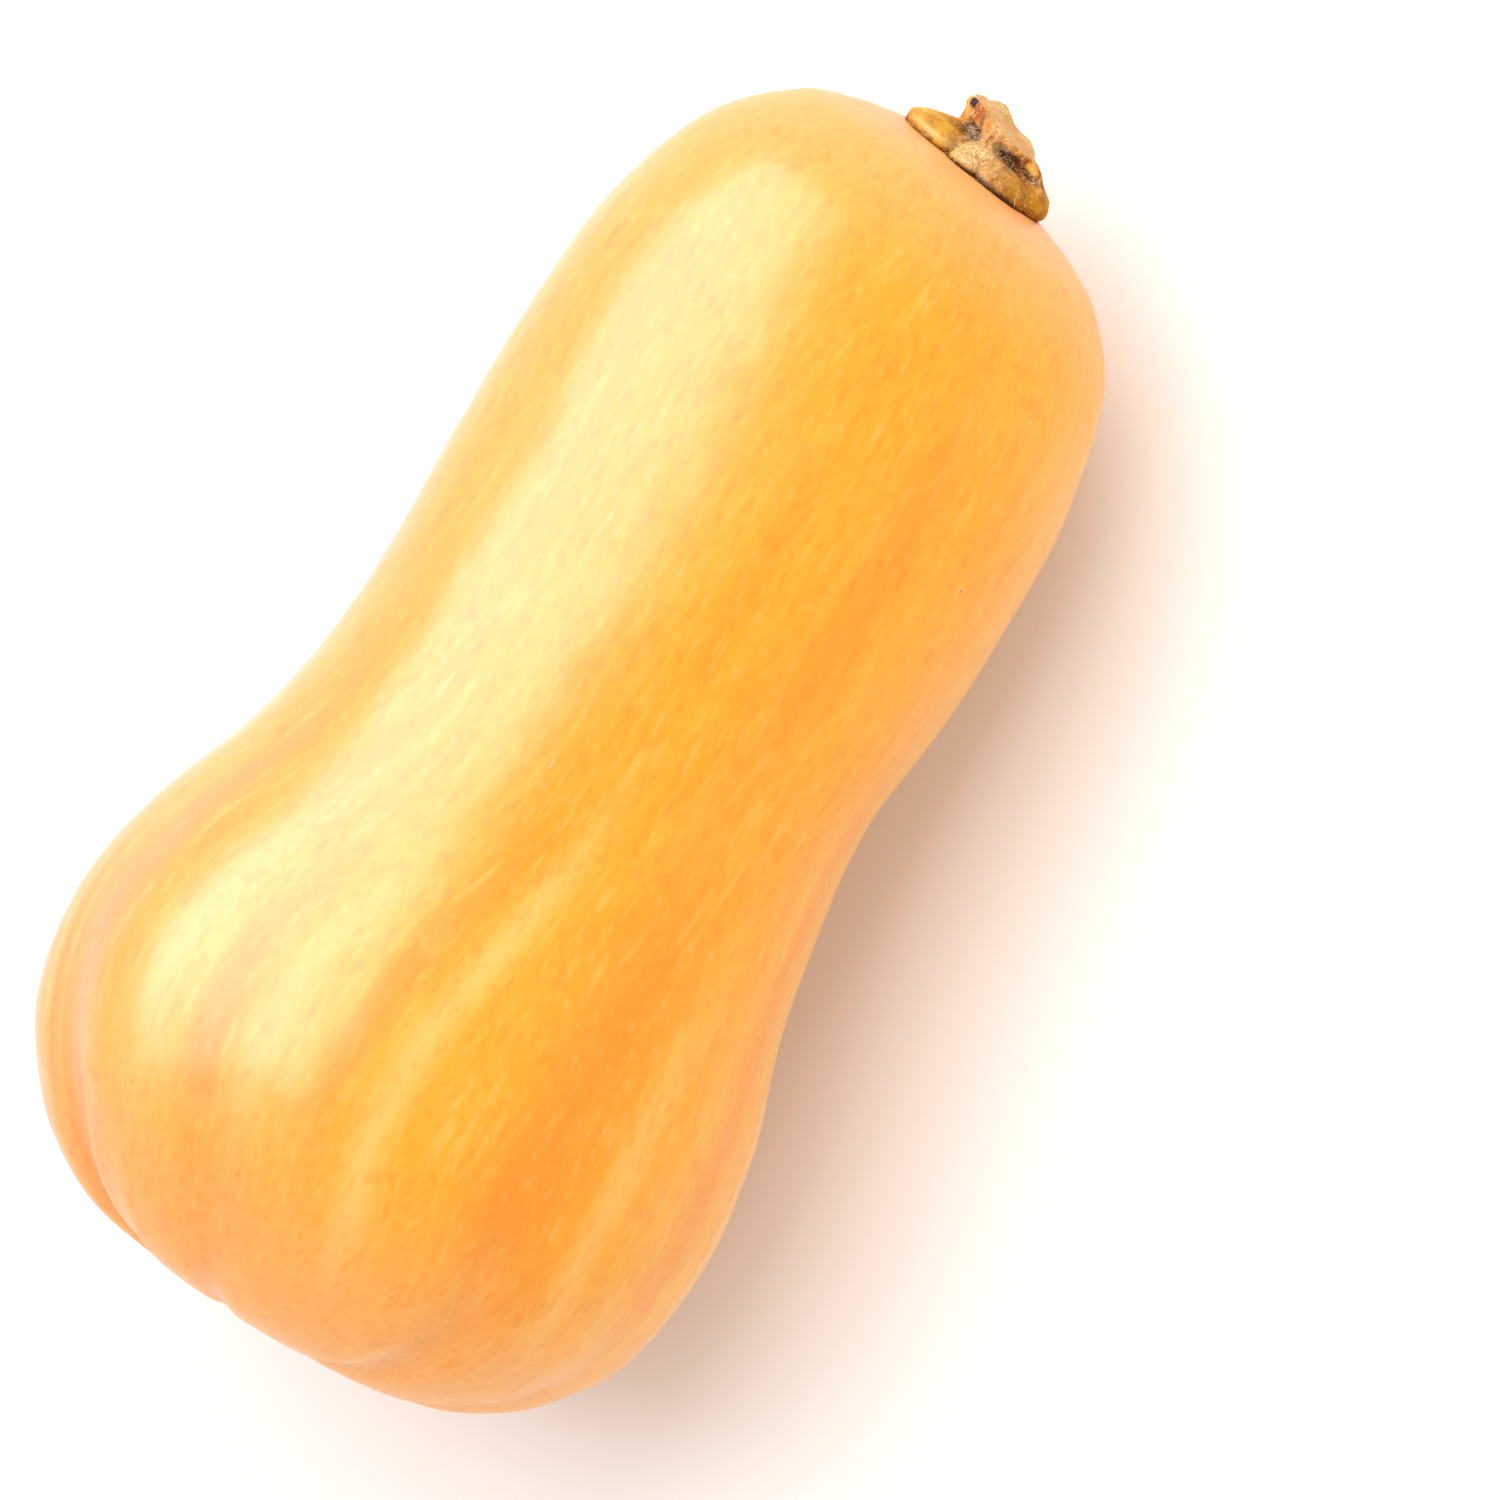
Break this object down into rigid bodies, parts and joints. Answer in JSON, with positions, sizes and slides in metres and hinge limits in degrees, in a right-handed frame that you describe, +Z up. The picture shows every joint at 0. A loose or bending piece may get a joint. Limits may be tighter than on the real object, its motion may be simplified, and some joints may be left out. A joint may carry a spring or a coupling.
{
  "type": "butternut squash",
  "caption": "Whole butternut squash lying on its side: a straight thick neck, a rounder bulb with faint ribs and a flat blossom end, and the dry cut stub of its stem.",
  "frame": {"origin": "on the surface that the squash lies on, under the middle of its bounding box", "axes": "+X runs along the fruit from the blossom end towards the stem; +Z is up; +Y is the side that faced the upper left of the picture"},
  "size_m": [0.2236, 0.1134, 0.1136],
  "materials": {
    "rind": "satin",
    "dry_stem": "matte"
  },
  "bodies": {
    "root": {"fruit": "rind", "stem": "dry_stem"}
  },
  "joints": []
}
